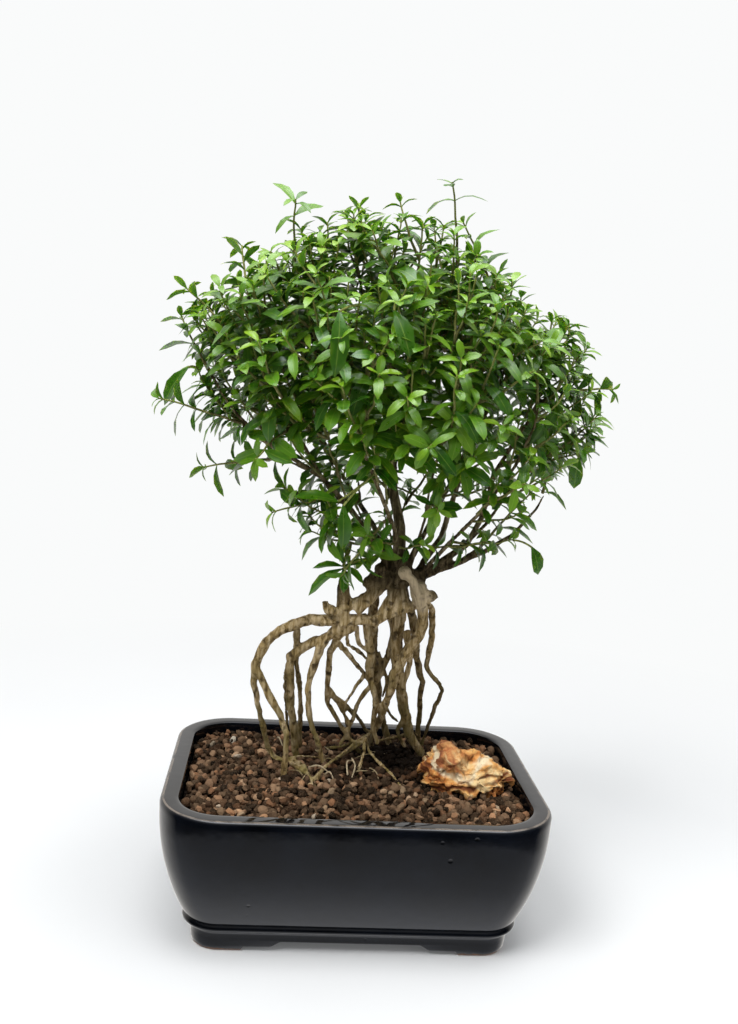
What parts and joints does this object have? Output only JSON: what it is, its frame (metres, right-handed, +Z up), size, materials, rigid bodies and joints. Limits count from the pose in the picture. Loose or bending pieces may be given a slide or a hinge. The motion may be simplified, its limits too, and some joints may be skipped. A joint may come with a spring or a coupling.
{
  "type": "serissa bonsai",
  "caption": "Exposed-root serissa bonsai: arching roots stand on clay soil in a glazed rectangular footed pot, under a fan of thin branches with small leaves.",
  "frame": {"origin": "on the ground under the middle of the whole plant's footprint, at the level of the soles of the pot's feet", "axes": "+Z up, +X to the right and -Y towards the viewer, along the pot's long front side"},
  "size_m": [0.2254, 0.1686, 0.3565],
  "materials": {
    "black_glaze": "glossy black glaze with a blue-grey cast",
    "screen_plastic": "plain black plastic mesh",
    "clay_pellets": "dull baked clay grains, dark brown with a few tan and white ones",
    "rust_quartz": "rough orange, cream and rust coloured rock",
    "bark": "khaki-tan roots with dark knots, browner branches",
    "leaf_green": "semi-gloss leaf surface, brighter green at the tips"
  },
  "bodies": {
    "root": {"pot": "black_glaze", "drain_screen": "screen_plastic", "soil": "clay_pellets", "stone": "rust_quartz", "trunk_and_roots": "bark", "spray_01": "leaf_green", "spray_02": "leaf_green", "spray_03": "leaf_green", "spray_04": "leaf_green", "spray_05": "leaf_green", "spray_06": "leaf_green", "spray_07": "leaf_green", "spray_08": "leaf_green", "spray_09": "leaf_green", "spray_10": "leaf_green", "spray_11": "leaf_green", "spray_12": "leaf_green", "spray_13": "leaf_green", "spray_14": "leaf_green", "spray_15": "leaf_green", "spray_16": "leaf_green", "spray_17": "leaf_green", "spray_18": "leaf_green", "spray_19": "leaf_green", "spray_20": "leaf_green", "spray_21": "leaf_green", "spray_22": "leaf_green", "spray_23": "leaf_green", "spray_24": "leaf_green", "spray_25": "leaf_green", "spray_26": "leaf_green", "spray_27": "leaf_green", "spray_28": "leaf_green", "spray_29": "leaf_green", "spray_30": "leaf_green", "spray_31": "leaf_green", "spray_32": "leaf_green", "spray_33": "leaf_green", "spray_34": "leaf_green", "spray_35": "leaf_green", "spray_36": "leaf_green", "spray_37": "leaf_green", "spray_38": "leaf_green", "spray_39": "leaf_green", "spray_40": "leaf_green", "spray_41": "leaf_green", "spray_42": "leaf_green"}
  },
  "joints": []
}
